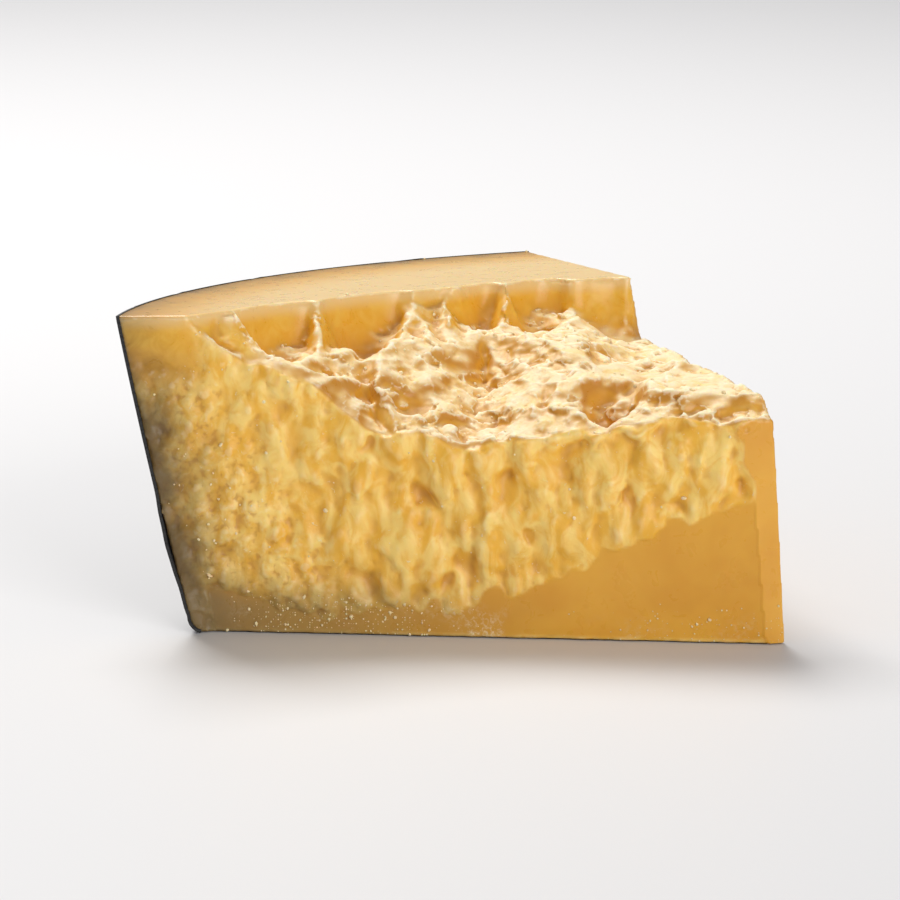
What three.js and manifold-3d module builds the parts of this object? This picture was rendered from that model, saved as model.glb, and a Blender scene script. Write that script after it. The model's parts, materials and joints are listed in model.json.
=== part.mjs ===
// A broken chunk of hard aged cheese: a wedge of the lower half of a small wheel, lying on its flat rind.
// Its front is a torn face with lumps that hang over a band smoothed by the knife, and the top's front
// has broken away along a craggy slope that ends in a scooped wall under what is left of the cut top.
// Millimetres, +Z up. While it is shaped, x runs along the front from the rind to the tip, and y goes back.

import * as THREE from "three";
import { mergeVertices } from "three/addons/utils/BufferGeometryUtils.js";
import Module from "manifold-3d";

const wasm = await Module();
wasm.setup();

// The wheel and the wedge cut from it
const WHEEL_RADIUS = 123; // where the wheel was halved
const BASE_RADIUS = 109.5; // just above the shoulder that rolls into the flat rind
const SHOULDER = 2.6; // how far that shoulder rounds
const SIDE_BULGE = 0.9; // how much the side swells between the two
const CHUNK_HEIGHT = 60.4; // at the front left corner
const TOP_RISE = 0.023; // the cut top climbs this much per mm towards the tip
const TOP_FALL = 0.063; // and drops this much per mm towards the back
const WEDGE_ANGLE = THREE.MathUtils.degToRad(63);
const TIP_X = 123.4; // the tip at the height of the cut top
const TIP_LEAN = 0.06; // the tip stands further out by this much per mm down
const TIP_CHAMFER = 6; // width of the bevel that the knife left on the tip
const CHAMFER_TURN = THREE.MathUtils.degToRad(20);

// The slope where the top has broken away
const CREST_START = 12.8; // the crest between front and slope leaves the top here
const CREST_LOW = { x: 49, z: 37.4 }; // and runs down to here
const CREST_TIP = 41; // its height at the tip
const RIM_END = { x: 92.6, y: 59.5 }; // the wall's upper rim meets the back cut here
const RIM_CURVE = 1.6;
const WALL = { drop: 11.6, reach: 7.4, curve: 1.7 }; // the wall under the rim, steep above and hollowed below
const FLOOR_STEEPNESS = 0.42;
const SHELF_LEFT = 50.6; // height of the slope's foot under the wall
const SHELF_RIGHT = 45.6;

// The torn front
const KNIFE_RECESS = 2.2; // the knife-smoothed band lies this far behind the proudest lumps
const LUMP = { wide: 5.6, tall: 14, deep: 2.1 };
const KNOB = { wide: 3.2, tall: 5.2, deep: 0.9 };
const SCALE_LEAN = 0.1; // each lump leans out this much per mm down, like an overlapping scale
const SMOOTH_TIP_BAND = 4.5;

const RELIEF_STEP = 1.42; // spacing of the points that carry the relief
const TERRACE = { rise: 4.3, riser: 0.45, ragged: 0.9, wide: 7 }; // the break steps down in ragged ledges
const SCOOP = { size: 8.5, deep: 1.5 };
const SHARD = { size: 3.4, tilt: 0.3, step: 0.55 };
const FAR = 300; // larger than the whole chunk

// Scallops bitten out of the wall under the rim, from one sharp rib to the next
const SCALLOPS = [
  { from: 20.6, to: 34.8, deep: 3.4 },
  { from: 35.4, to: 51.6, deep: 4.2 },
  { from: 53.0, to: 59.4, deep: 1.2 },
  { from: 60.0, to: 68.6, deep: 3.8 },
  { from: 69.4, to: 80.8, deep: 4.8 },
  { from: 83.0, to: 93.4, deep: 1.4 },
];

// Bowls in the slope: centre, lowest height, half-widths, and how much they rise at those half-widths
const HOLLOWS = [
  { x: 29.4, y: 10.4, z: 47.6, wide: 5.6, long: 5.6, rise: 4.6 },
  { x: 44.0, y: 26.0, z: 46.6, wide: 6.0, long: 7.4, rise: 5.0 },
  { x: 64.6, y: 44.0, z: 49.2, wide: 4.4, long: 6.0, rise: 4.6 },
  { x: 75.2, y: 47.5, z: 47.8, wide: 5.0, long: 7.2, rise: 5.0 },
  { x: 88.6, y: 51.0, z: 48.0, wide: 4.6, long: 5.0, rise: 2.6 },
  { x: 113.5, y: 3.8, z: 41.4, wide: 4.2, long: 3.0, rise: 4.0 },
  { x: 55.5, y: 9.0, z: 40.4, wide: 5.0, long: 5.0, rise: 4.0 },
  { x: 91.4, y: 10.2, z: 38.0, wide: 6.2, long: 8.2, rise: 6.6 },
];

// Large facets of the slope that broke clean: centre and half-widths
const CLEAN_FACETS = [
  { x: 59, y: 17, wide: 7, long: 8 },
  { x: 83, y: 28, wide: 8, long: 9 },
  { x: 91.4, y: 11, wide: 5.5, long: 7 },
];

// Grooves and ridges on the slope: a run of [x, y, z] and the steepness of the sides to its left and right,
// looking along the run
const GROOVES = [
  {
    run: [[66, 39, 52], [66.8, 31, 46], [67.6, 25, 42.2], [66, 14, 40], [64, 4, 38.6]],
    left: 0.58,
    right: 0.72,
  },
  { run: [[65.6, 37, 50.2], [66.7, 31, 43.4], [67.6, 24, 40.4]], left: 2.6, right: 1.7 },
  { run: [[45.2, 16, 46.4], [46.4, 11, 43.4], [47.4, 5, 40.4]], left: 0.9, right: 3.2 },
  { run: [[79.4, 15, 42.6], [80.2, 2, 38.6]], left: 1.6, right: 1.1 },
  {
    run: [[99, 27, 47.8], [94.6, 17, 43.2], [91.8, 9, 39.6], [91.2, 4, 39.6], [90.6, 0, 41.2]],
    left: 0.9,
    right: 1.0,
  },
  { run: [[93, 14, 41.2], [91.8, 9, 38.2], [91.4, 5, 38.8]], left: 2.0, right: 1.6 },
  { run: [[96, 40, 48.6], [88, 36, 49.2], [83, 37, 50.4]], left: 0.7, right: 0.5 },
];
const RIDGES = [
  {
    run: [[13, 1, 60.8], [17.5, 2, 57.2], [25, 2, 51.8], [35, 2, 47], [42, 2.4, 43.6], [47.6, 2.6, 39.4]],
    left: 2,
    right: 1.1,
  },
  {
    run: [[21, 9, 61.2], [27, 5.2, 54.4], [33.6, 4.6, 51.6], [38.6, 6.6, 49.4], [43.6, 5.6, 45.6], [47.6, 4, 40.6]],
    left: 1.9,
    right: 1.0,
  },
  { run: [[35.2, 24.4, 60], [35.8, 18, 55.2], [37.4, 12, 51.8]], left: 2.4, right: 2.0 },
  {
    run: [[37, 11, 50.8], [41.5, 14, 49.6], [46, 20, 50.4], [50.4, 29, 52.8], [52.4, 40, 57.6]],
    left: 1.8,
    right: 1.0,
  },
  {
    run: [[50.6, 29, 53.8], [47.6, 20, 51.6], [47.2, 12, 48.8], [50.2, 5, 43.2], [53.4, 1.4, 40.4]],
    left: 0.66,
    right: 3.6,
  },
  { run: [[58.2, 42, 56.6], [59.6, 36, 54.2], [61.2, 31, 49.6]], left: 1.6, right: 1.2 },
  { run: [[54.4, 37, 55.0], [56, 30, 52.6], [55.4, 22, 49.4]], left: 1.2, right: 1.0 },
  { run: [[68.9, 50, 58.4], [69.2, 43, 53.6], [70.4, 36, 51.2]], left: 2.2, right: 2.2 },
  {
    run: [[82.6, 49, 53.6], [81.6, 44, 52.8], [79.4, 34, 50.8], [75.4, 26.4, 47.6], [70.4, 21, 43.8]],
    left: 0.8,
    right: 0.9,
  },
  { run: [[88, 40, 51.4], [83.6, 29, 49], [78.6, 21.6, 46], [73, 16, 42.6]], left: 0.7, right: 0.9 },
  { run: [[97, 5, 43.0], [106.6, 7.6, 46.2], [116, 12.6, 47.0]], left: 1.2, right: 1.3 },
  { run: [[93.6, 15, 44.0], [102.4, 26, 48.0], [106, 32, 48.8]], left: 1.3, right: 1.2 },
];

const { clamp, lerp, smoothstep } = THREE.MathUtils;

// A repeatable number from 0 to 1 for the whole-numbered cell (i, j).
function draw(i, j, seed) {
  const wave = Math.sin(i * 127.1 + j * 311.7 + seed * 74.7) * 43758.5453;
  return wave - Math.floor(wave);
}

// Smooth noise from -1 to 1 whose bumps are about one unit across.
function noise(x, y, seed) {
  const i = Math.floor(x);
  const j = Math.floor(y);
  const u = smoothstep(x - i, 0, 1);
  const v = smoothstep(y - j, 0, 1);
  const near = lerp(draw(i, j, seed), draw(i + 1, j, seed), u);
  const far = lerp(draw(i, j + 1, seed), draw(i + 1, j + 1, seed), u);
  return 2 * lerp(near, far, v) - 1;
}

// The scattered cell centre nearest to (x, y): its distance, its offset from the point and its own draws.
// The plain distance has sharp creases where cells meet; the soft one rounds them.
function nearestCell(x, y, seed) {
  const i = Math.floor(x);
  const j = Math.floor(y);
  let best = { distance: Infinity };
  let closeness = 0;
  for (let a = i - 1; a <= i + 1; a++)
    for (let b = j - 1; b <= j + 1; b++) {
      const dx = x - (a + 0.12 + 0.76 * draw(a, b, seed));
      const dy = y - (b + 0.12 + 0.76 * draw(a, b, seed + 1));
      const distance = Math.hypot(dx, dy);
      closeness += Math.exp(-9 * distance);
      if (distance < best.distance)
        best = { distance, dx, dy, level: draw(a, b, seed + 2), lean: draw(a, b, seed + 3) };
    }
  return { ...best, soft: Math.max(0, -Math.log(closeness) / 9 + 0.06) };
}

// Flat splinters, each with its own level and tilt, as brittle cheese breaks.
function splinters(x, y, { size, tilt, step }, seed) {
  const cell = nearestCell(x / size, y / size, seed);
  const turn = 2 * Math.PI * cell.lean;
  const slope = tilt * size * (cell.dx * Math.cos(turn) + cell.dy * Math.sin(turn));
  return slope + step * (2 * cell.level - 1);
}

const topHeight = (x, y) => CHUNK_HEIGHT + TOP_RISE * x - TOP_FALL * y;

function crestHeight(x) {
  if (x < CREST_LOW.x) {
    const along = (CREST_LOW.x - x) / (CREST_LOW.x - CREST_START);
    const sway = along < 1 ? 1.4 * Math.sin(2 * Math.PI * along) : 0;
    return lerp(CREST_LOW.z, CHUNK_HEIGHT, along) + sway;
  }
  const along = (x - CREST_LOW.x) / (TIP_X - CREST_LOW.x);
  const dip = 3.4 * Math.exp(-(((x - 68) / 7) ** 2));
  const knoll = 1.8 * Math.exp(-(((x - 56) / 4) ** 2));
  return lerp(CREST_LOW.z, CREST_TIP, Math.min(1, along)) - dip + knoll;
}

function rimDepth(x) {
  const along = clamp((RIM_END.x - x) / (RIM_END.x - CREST_START), 0, 1.2);
  const beyond = Math.max(0, x - RIM_END.x);
  let depth = RIM_END.y * (1 - along ** RIM_CURVE) + 3 * beyond + 0.5 * noise(x / 4.5, 0, 21);
  for (const { from, to, deep } of SCALLOPS) {
    const out = (2 * x - from - to) / (to - from);
    if (Math.abs(out) < 1) depth += deep * (1 - out * out) ** 0.7;
  }
  return depth;
}

// Height of the broken slope over the point (x, y); above the cut top where the top still stands.
function slopeHeight(x, y) {
  const inFront = rimDepth(x) - y;
  const shelf = lerp(SHELF_LEFT, SHELF_RIGHT, smoothstep(x, 80, 96)) + 0.03 * y;
  let z = Math.min(crestHeight(x) + FLOOR_STEEPNESS * y * lerp(1, 1.5, smoothstep(x, 92, 104)), shelf);
  z = lerp(z, terraced(x, y, z), 0.6);
  for (const h of HOLLOWS) {
    const out = Math.hypot((x - h.x) / h.wide, (y - h.y) / h.long);
    z = Math.min(z, h.z + h.rise * out * out);
  }
  for (const groove of GROOVES) z = Math.min(z, runHeight(x, y, groove, 1));
  const sway = 0.35 * noise(x / 8, y / 8, 29);
  const scoop = nearestCell(x / SCOOP.size + sway, y / SCOOP.size - sway, 31);
  const offCentre = CLEAN_FACETS.map((f) => ((x - f.x) / f.wide) ** 2 + ((y - f.y) / f.long) ** 2);
  const clean = Math.exp(-Math.min(...offCentre));
  const patchy = lerp(0.35, 1, smoothstep(noise(x / 9, y / 11, 33), -0.4, 0.5));
  const brittle = smoothstep(inFront, 4, 9) * patchy * (1 - 0.8 * clean);
  z += brittle * (SCOOP.deep * (Math.min(1, scoop.distance) ** 2 - 0.3) + splinters(x, y, SHARD, 41));
  const waver = 0.7 * noise(x / 2.3, y / 2.3, 37);
  for (const ridge of RIDGES) z = Math.max(z, runHeight(x + waver, y - waver, ridge, -1) + 0.4 * waver);
  const down = clamp(1 - inFront / WALL.reach, 0, 1);
  const wallFall = WALL.drop * (1 - down ** WALL.curve) + Math.max(0, inFront - WALL.reach);
  const fall = inFront < 0 ? 3 * inFront : wallFall;
  z = Math.max(z, topHeight(x, y) - fall);
  return Math.min(z, topHeight(x, y) + 8);
}

// The height z moved towards the nearest of a flight of ragged ledges.
function terraced(x, y, z) {
  const { rise, riser, ragged, wide } = TERRACE;
  const fine = wide / 2.3;
  const shift = ragged * (noise(x / wide, y / wide, 51) + 0.5 * noise(x / fine, y / fine, 53));
  const level = (z + shift) / rise;
  const whole = Math.floor(level);
  return rise * (whole + smoothstep(level - whole, 0.5 - riser / 2, 0.5 + riser / 2)) - shift;
}

// Height at (x, y) of the sides of a ridge (sign -1) or groove (sign 1) along a run of points.
function runHeight(x, y, { run, left, right }, sign) {
  let nearest = Infinity;
  let height = 0;
  for (let k = 1; k < run.length; k++) {
    const [ax, ay, az] = run[k - 1];
    const [bx, by, bz] = run[k];
    const [dx, dy] = [bx - ax, by - ay];
    const along = clamp(((x - ax) * dx + (y - ay) * dy) / (dx * dx + dy * dy), 0, 1);
    const away = Math.hypot(x - ax - along * dx, y - ay - along * dy);
    if (away >= nearest) continue;
    nearest = away;
    const leftSide = dx * (y - ay) - dy * (x - ax) > 0;
    height = lerp(az, bz, along) + sign * away * (leftSide ? left : right);
  }
  return height;
}

// Height at which the lumps of the torn front stop, over the knife-smoothed band.
function tornEdge(x) {
  const left = 11 - 0.2 * (x - 12);
  const right = 5 + 24 * clamp((x - 50) / 68, 0, 1.2) ** 1.5;
  return x < 50 ? Math.max(left, 4) : right;
}

// How far the front's surface lies behind the proudest lump, at (x, z).
function frontRecess(x, z) {
  const sway = 1.6 * noise(x / 15, z / 19, 3) + 0.7 * noise(x / 5, z / 7, 4);
  const lump = nearestCell((x + sway) / LUMP.wide, (z + sway) / LUMP.tall, 11);
  const knob = nearestCell((x + sway) / KNOB.wide, z / KNOB.tall, 15);
  const calm = lerp(0.4, 1, smoothstep(x, 14, 46));
  const furrow = LUMP.deep * calm * Math.min(1, 1.2 * lump.soft) ** 1.5;
  const scale = SCALE_LEAN * calm * LUMP.tall * lump.dy * smoothstep(lump.dy, -0.75, -0.2);
  const dimple = KNOB.deep * Math.min(1, 1.3 * knob.soft) ** 1.4;
  const level = calm * 0.9 * (lump.level - 0.5);
  const torn = clamp(0.35 + furrow + scale + dimple + level, 0, 5);
  const ragged = tornEdge(x) + 4.2 * calm * (lump.lean - 0.5) + 1.2 * (knob.level - 0.5);
  const aboveEdge = smoothstep(z, ragged - 0.7, ragged + 0.9);
  const tip = TIP_X + (CHUNK_HEIGHT - z) * TIP_LEAN - SMOOTH_TIP_BAND;
  const beforeTip = 1 - smoothstep(x, tip - 1.5, tip + 0.5);
  const pastRind = smoothstep(x - rindEdge(z), 0.8, 5);
  const corner = smoothstep(z, CHUNK_HEIGHT - 12, CHUNK_HEIGHT - 5) * (1 - smoothstep(x, 11, 19));
  const rough = aboveEdge * beforeTip * pastRind * (1 - corner);
  return lerp(KNIFE_RECESS - 1.4 * Math.max(1 - pastRind, corner), torn, rough);
}

// The rind's outer radius from the base up, as a lathe profile.
function rindProfile() {
  const side = new THREE.Path();
  side.moveTo(0, 0);
  side.lineTo(BASE_RADIUS - SHOULDER, 0);
  side.quadraticCurveTo(BASE_RADIUS, 0, BASE_RADIUS + 0.8, SHOULDER + 1.5);
  side.quadraticCurveTo(
    (BASE_RADIUS + WHEEL_RADIUS) / 2 + SIDE_BULGE,
    (SHOULDER + CHUNK_HEIGHT) / 2,
    WHEEL_RADIUS,
    CHUNK_HEIGHT,
  );
  side.lineTo(WHEEL_RADIUS, CHUNK_HEIGHT + 10);
  side.lineTo(0, CHUNK_HEIGHT + 10);
  return side.getPoints(7);
}

// Where the rind stands on the front, at height z.
function rindEdge(z) {
  const up = clamp(z / CHUNK_HEIGHT, 0, 1);
  return TIP_X - lerp(BASE_RADIUS, WHEEL_RADIUS, up);
}

// A closed three.js geometry as a solid for cutting and joining.
function solid(geometry) {
  const bare = geometry.clone();
  bare.deleteAttribute("normal");
  bare.deleteAttribute("uv");
  const merged = mergeVertices(bare, 1e-4);
  return new wasm.Manifold(
    new wasm.Mesh({
      numProp: 3,
      vertProperties: merged.attributes.position.array,
      triVerts: new Uint32Array(merged.index.array),
    }),
  );
}

function geometryOf(made) {
  const mesh = made.getMesh();
  const geometry = new THREE.BufferGeometry();
  geometry.setAttribute("position", new THREE.BufferAttribute(new Float32Array(mesh.vertProperties), 3));
  geometry.setIndex(new THREE.BufferAttribute(new Uint32Array(mesh.triVerts), 1));
  return geometry;
}

// Everything on the outer side of the plane through point whose outward normal is given.
function outside(point, normal) {
  const block = new THREE.BoxGeometry(2 * FAR, 2 * FAR, FAR);
  block.translate(0, 0, FAR / 2);
  block.applyQuaternion(new THREE.Quaternion().setFromUnitVectors(new THREE.Vector3(0, 0, 1), normal));
  block.translate(point.x, point.y, point.z);
  return solid(block);
}

// The lower half of the wheel, standing on its flat rind round the wedge's tip.
function wheelHalf() {
  const wheel = new THREE.LatheGeometry(rindProfile(), 130);
  wheel.rotateX(Math.PI / 2);
  wheel.translate(TIP_X, 0, 0);
  return solid(wheel);
}

// Cuts the wedge out of the half wheel with plain knife cuts.
function cutWedge() {
  const tipTop = new THREE.Vector3(TIP_X, 0, CHUNK_HEIGHT);
  const alongBack = new THREE.Vector3(-Math.cos(WEDGE_ANGLE), Math.sin(WEDGE_ANGLE), 0);
  const downTip = new THREE.Vector3(TIP_LEAN, 0, -1);
  const backNormal = new THREE.Vector3().crossVectors(downTip, alongBack).normalize();
  const topNormal = new THREE.Vector3(-TOP_RISE, TOP_FALL, 1).normalize();
  const chamferNormal = new THREE.Vector3(Math.sin(CHAMFER_TURN), -Math.cos(CHAMFER_TURN), TIP_LEAN / 2);
  chamferNormal.normalize();
  const chamferStart = new THREE.Vector3(TIP_X - TIP_CHAMFER, KNIFE_RECESS, CHUNK_HEIGHT);
  return wheelHalf()
    .subtract(outside(new THREE.Vector3(0, 0, 0), new THREE.Vector3(0, -1, 0)))
    .subtract(outside(tipTop, backNormal))
    .subtract(outside(new THREE.Vector3(0, 0, CHUNK_HEIGHT), topNormal))
    .subtract(outside(chamferStart, chamferNormal));
}

// A slab whose lower face is a grid of points moved to the height that relief gives them.
// The grid is uneven, and each of its cells is split along the shorter diagonal, so no regular pattern shows.
function reliefSlab(fromX, toX, fromY, toY, roof, relief) {
  const across = Math.round((toX - fromX) / RELIEF_STEP);
  const along = Math.round((toY - fromY) / RELIEF_STEP);
  const slab = new THREE.BoxGeometry(toX - fromX, toY - fromY, 2, across, along, 1);
  slab.translate((fromX + toX) / 2, (fromY + toY) / 2, 0);
  const at = slab.attributes.position;
  for (let k = 0; k < at.count; k++) {
    if (at.getZ(k) > 0) {
      at.setZ(k, roof);
      continue;
    }
    const column = Math.round((at.getX(k) - fromX) / RELIEF_STEP);
    const row = Math.round((at.getY(k) - fromY) / RELIEF_STEP);
    const inside = column > 0 && column < across && row > 0 && row < along;
    const shift = inside ? 0.56 * RELIEF_STEP : 0;
    const x = at.getX(k) + shift * (draw(column, row, 5) - 0.5);
    const y = at.getY(k) + shift * (draw(column, row, 6) - 0.5);
    at.setXYZ(k, x, y, relief(x, y));
  }
  const corner = (k) => new THREE.Vector3().fromBufferAttribute(at, k);
  const index = slab.index;
  for (let k = 0; k < index.count; k += 6) {
    const [a, b, d, c] = [index.getX(k), index.getX(k + 1), index.getX(k + 2), index.getX(k + 4)];
    if (corner(a).distanceTo(corner(c)) < corner(b).distanceTo(corner(d)))
      [a, b, c, a, c, d].forEach((vertex, place) => index.setX(k + place, vertex));
  }
  return slab;
}

// The air in front of the wedge, as far back as the torn front.
function tornFrontCutter() {
  return reliefSlab(-4, 132, -4, 72, FAR, (x, z) => -frontRecess(x, z)).rotateX(Math.PI / 2);
}

// The air above the broken slope.
function slopeCutter() {
  return reliefSlab(7, 130, -5, 73, FAR, slopeHeight);
}

function chunkMesh() {
  const broken = cutWedge().subtract(solid(slopeCutter())).subtract(solid(tornFrontCutter()));
  const pieces = broken.decompose().sort((a, b) => b.volume() - a.volume());
  const geometry = geometryOf(pieces[0]);
  geometry.computeBoundingBox();
  const { min, max } = geometry.boundingBox;
  geometry.translate(-(min.x + max.x) / 2, -(min.y + max.y) / 2, -min.z);
  const cheese = new THREE.MeshStandardMaterial({ color: 0xdfae62, roughness: 0.5, metalness: 0 });
  const mesh = new THREE.Mesh(geometry, cheese);
  mesh.name = "parmesan_chunk";
  return mesh;
}

const chunk = new THREE.Group();
chunk.add(chunkMesh());

export default chunk;
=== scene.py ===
"""Dresses a broken chunk of hard aged cheese.

Adds fine relief on its torn and broken faces, a thin coat on its rind, and the grains that cling to it.
"""

import itertools
import json
import math

import bpy
import numpy as np
from mathutils import Euler, Matrix, Vector

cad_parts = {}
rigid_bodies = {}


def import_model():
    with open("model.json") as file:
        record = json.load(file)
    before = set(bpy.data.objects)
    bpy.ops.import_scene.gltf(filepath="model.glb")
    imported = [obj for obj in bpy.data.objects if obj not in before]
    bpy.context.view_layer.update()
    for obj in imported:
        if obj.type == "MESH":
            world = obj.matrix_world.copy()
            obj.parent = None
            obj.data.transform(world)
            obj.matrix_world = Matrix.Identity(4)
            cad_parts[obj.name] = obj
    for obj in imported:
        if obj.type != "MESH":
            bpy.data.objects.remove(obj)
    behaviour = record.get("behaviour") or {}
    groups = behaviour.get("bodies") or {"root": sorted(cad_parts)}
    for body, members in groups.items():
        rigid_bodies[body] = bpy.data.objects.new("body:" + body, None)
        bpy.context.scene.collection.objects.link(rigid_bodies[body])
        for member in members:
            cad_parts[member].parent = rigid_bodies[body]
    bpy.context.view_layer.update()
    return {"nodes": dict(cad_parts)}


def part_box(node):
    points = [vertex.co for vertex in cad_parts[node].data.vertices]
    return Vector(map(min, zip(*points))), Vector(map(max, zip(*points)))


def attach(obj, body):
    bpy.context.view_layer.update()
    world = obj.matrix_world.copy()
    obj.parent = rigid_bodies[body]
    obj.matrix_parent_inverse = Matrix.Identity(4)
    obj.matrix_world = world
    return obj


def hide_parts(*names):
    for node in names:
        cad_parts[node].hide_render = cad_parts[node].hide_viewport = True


bl_info = {
    "name": "Parmesan Chunk",
    "version": (1, 0, 0),
    "blender": (4, 5, 0),
    "location": "View3D > Sidebar > Cheese",
    "description": "Builds the visual pieces of a broken chunk of hard aged cheese",
    "category": "Object",
}

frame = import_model()
NODE = "parmesan_chunk"
LOW, HIGH = (Vector(corner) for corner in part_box(NODE))

MM = 0.001
FORWARD = Vector((0, -1, 0))
DOWN = Vector((0, 0, -1))

# The chunk is a sector of a round cheese that lies on its flat rind, its tip on the round's upright axis
TOP_RADIUS = 123 * MM  # of the curved rind at the cut top
BASE_RADIUS = 109.5 * MM  # and at the flat rind
SIDE_SWELL = 0.9 * MM  # of the rind between its ends
CHUNK_HEIGHT = 60.4 * MM  # at the cut top's corner on the front and the rind
CORNER_REACH = 123.4 * MM  # from the axis to that corner
TOP_RISE = 0.023  # slope of the cut top toward the tip
TOP_FALL = 0.063  # and away from the front
WEDGE_ANGLE = math.radians(63)
TIP_LEAN = 0.06
BAND_RECESS = 2.2 * MM  # from the torn front's lumps back to the smoothed band
BEVEL_WIDTH = 6 * MM  # of the narrow cut on the tip
BEVEL_TURN = math.radians(20)
AXIS = Vector((LOW.x + 122.956 * MM, HIGH.y - 108.728 * MM, 0))  # the upright line through the tip
FRONT_Y = AXIS.y  # the plane that the proudest lumps of the torn front reach

# The coat's profile, and how closely it follows the paste
SHOULDER_OUT, SHOULDER_UP = 3.3 * MM, 3.4 * MM  # the rounded edge of the flat rind
FLAT_STEPS, SHOULDER_STEPS, SIDE_STEPS, ROUND_STEPS = 30, 6, 46, 110
COAT_FRONT = FRONT_Y + 0.55 * MM  # where the coat ends beside the torn front
COAT_TUCK = 1.4 * MM  # how far its edge draws back beside the smoothed band

SNAP_REACH = 0.35 * MM  # how far the remesh may leave a point off its cut
FACE_REACH = 0.25 * MM  # how near a point counts as part of a cut or of the rind
GROUP_LEVELS = 50  # steps of weight in a vertex group
TEXTURE_ORIGIN = (0.0131, 0.0077, 0.0052)  # keeps the textures' own lattice off the chunk's edges
GRAIN_SHAPES = 4
GRAIN_SEED = 8

# Rates that have nothing in common, so that their waves look random from one whole number to the next
CHANCE_RATES = np.array([[127.1, 269.5, 419.2], [311.7, 183.3, 371.9], [74.7, 246.1, 168.2]])
CHANCE_SEED_RATE = 17.3
CHANCE_GAIN = 43758.5453

VIEW_TURN = math.radians(5.5)
VIEW_DOWN = math.radians(12)
VIEW_LENS = 209
WARM_WHITE = (1.0, 0.98, 0.95)


def top_height(x, y):
    """Height of the cut top over a point."""
    start = AXIS.x - CORNER_REACH
    return CHUNK_HEIGHT + TOP_RISE * (x - start) - TOP_FALL * (y - FRONT_Y)


def rind_radius(z):
    """Radius of the curved rind at a height, swelling a little between its ends."""
    up = np.clip(z / CHUNK_HEIGHT, 0, 1)
    return BASE_RADIUS + (TOP_RADIUS - BASE_RADIUS) * up + 2 * SIDE_SWELL * up * (1 - up)


def cut_planes():
    """A point and the outward normal of the cut top, the back cut and the narrow cut on the tip."""
    top = Vector((-TOP_RISE, TOP_FALL, 1))
    back = Vector((TIP_LEAN, 0, -1)).cross(Vector((-math.cos(WEDGE_ANGLE), math.sin(WEDGE_ANGLE), 0)))
    bevel = Vector((math.sin(BEVEL_TURN), -math.cos(BEVEL_TURN), TIP_LEAN / 2))
    corner = Vector((AXIS.x - CORNER_REACH, FRONT_Y, CHUNK_HEIGHT))
    tip = AXIS + Vector((0, 0, CHUNK_HEIGHT))
    band = Vector((AXIS.x - BEVEL_WIDTH, FRONT_Y + BAND_RECESS, CHUNK_HEIGHT))
    return [(place, outward.normalized()) for place, outward in ((corner, top), (tip, back), (band, bevel))]


def ease(value, low, high):
    """Smooth step from 0 at low to 1 at high, for arrays too."""
    t = np.clip((value - low) / (high - low), 0, 1)
    return t * t * (3 - 2 * t)


# Tools shared by the operators


def deselect_all():
    bpy.ops.object.select_all(action="DESELECT")


def activate(piece):
    deselect_all()
    piece.select_set(True)
    bpy.context.view_layer.objects.active = piece


def copy_of_node(name):
    """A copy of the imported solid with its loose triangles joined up."""
    activate(frame["nodes"][NODE])
    bpy.ops.object.duplicate(linked=False)
    piece = bpy.context.object
    bpy.ops.object.parent_clear(type="CLEAR_KEEP_TRANSFORM")
    piece.name = piece.data.name = name
    piece.data.materials.clear()
    bpy.ops.object.mode_set(mode="EDIT")
    bpy.ops.mesh.select_all(action="SELECT")
    bpy.ops.mesh.remove_doubles(threshold=0.02 * MM)
    bpy.ops.object.mode_set(mode="OBJECT")
    return piece


def apply_modifier(piece, kind, **settings):
    """Adds one modifier with its settings and applies it at once."""
    modifier = piece.modifiers.new(kind.lower(), kind)
    for key, value in settings.items():
        setattr(modifier, key, value)
    activate(piece)
    bpy.ops.object.modifier_apply(modifier=modifier.name)


def points_of(piece):
    flat = np.empty(3 * len(piece.data.vertices))
    piece.data.vertices.foreach_get("co", flat)
    return flat.reshape(-1, 3)


def place_points(piece, at):
    piece.data.vertices.foreach_set("co", at.ravel())
    piece.data.update()


def normals_of(piece):
    flat = np.empty(3 * len(piece.data.vertices), dtype=np.float32)
    piece.data.vertex_normals.foreach_get("vector", flat)
    return flat.reshape(-1, 3).astype(float)


def edges_of(piece):
    flat = np.empty(2 * len(piece.data.edges), dtype=np.int32)
    piece.data.edges.foreach_get("vertices", flat)
    return flat.reshape(-1, 2)


def spread(values, edges, rounds):
    """Averages per-point values with their neighbours', so each round reaches one edge further."""
    values = values.reshape(len(values), -1)
    count = np.bincount(edges.ravel(), minlength=len(values))[:, None] + 1.0
    for _ in range(rounds):
        total = values.copy()
        for column in range(values.shape[1]):
            total[:, column] += np.bincount(edges[:, 0], values[edges[:, 1], column], len(values))
            total[:, column] += np.bincount(edges[:, 1], values[edges[:, 0], column], len(values))
        values = total / count
    return values


def chance(cell, seed):
    """Repeatable random numbers from 0 to 1, three for each whole-numbered cell."""
    wave = np.sin(cell @ CHANCE_RATES + CHANCE_SEED_RATE * seed) * CHANCE_GAIN
    return wave - np.floor(wave)


def cells_around(at, size, seed):
    """For each point's own cell and the 26 round it: the cell, and the way from its scattered centre.

    Ways are in cells, and size may differ along x, y and z.
    """
    grid = at / size
    base = np.floor(grid)
    for shift in itertools.product((-1, 0, 1), repeat=3):
        cell = base + shift
        yield cell, grid - cell - 0.1 - 0.8 * chance(cell, seed)


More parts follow.
